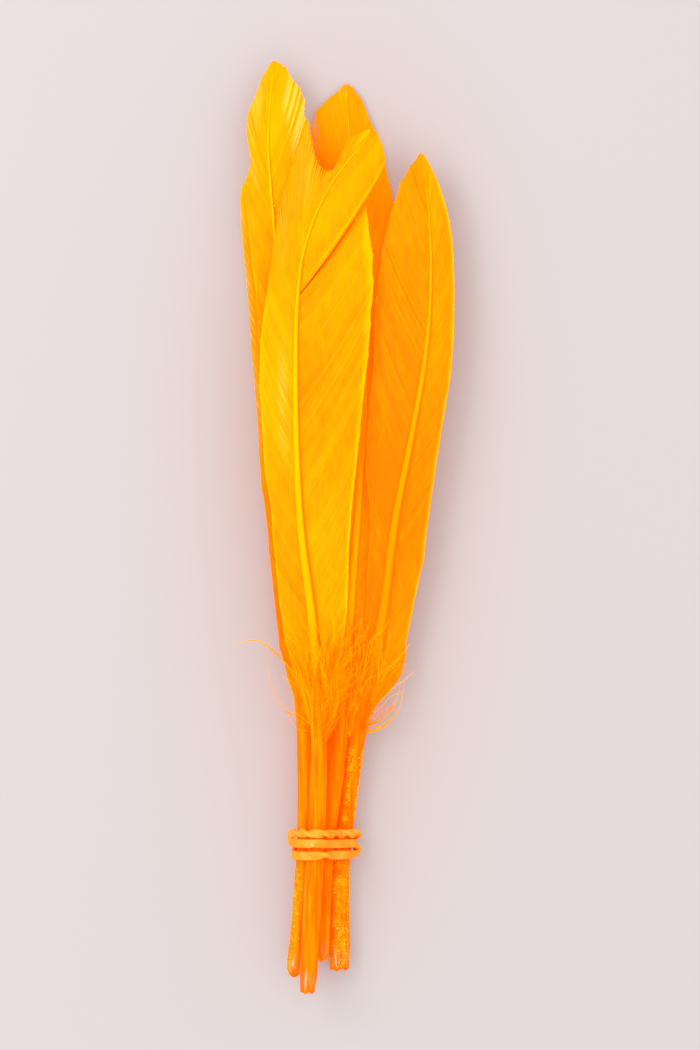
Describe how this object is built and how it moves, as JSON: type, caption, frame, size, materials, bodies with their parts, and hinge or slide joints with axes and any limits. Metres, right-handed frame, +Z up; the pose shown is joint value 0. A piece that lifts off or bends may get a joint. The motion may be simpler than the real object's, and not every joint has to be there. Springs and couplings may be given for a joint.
{
  "type": "bunch of quill feathers",
  "caption": "Bunch of dyed orange goose quill feathers, tied round the bare quills with a doubled rubber band and lying flat with the vanes overlapping.",
  "frame": {"origin": "middle of the bunch's box, on the surface that it lies on", "axes": "+Y along the feathers, from the cut quill ends to the tips; +Z up, out of the front of the vanes; +X to the right seen from above with the tips up"},
  "size_m": [0.0428, 0.186, 0.0121],
  "materials": {
    "feather": "soft barbs with a silky sheen along each barb, dyed orange, on a smooth glossy quill",
    "rubber_band": "smooth orange latex rubber, slightly glossy"
  },
  "bodies": {
    "root": {"front_feather": "feather", "tall_left_feather": "feather", "right_feather": "feather", "back_feather": "feather", "low_left_feather": "feather", "rubber_band": "rubber_band"}
  },
  "joints": []
}
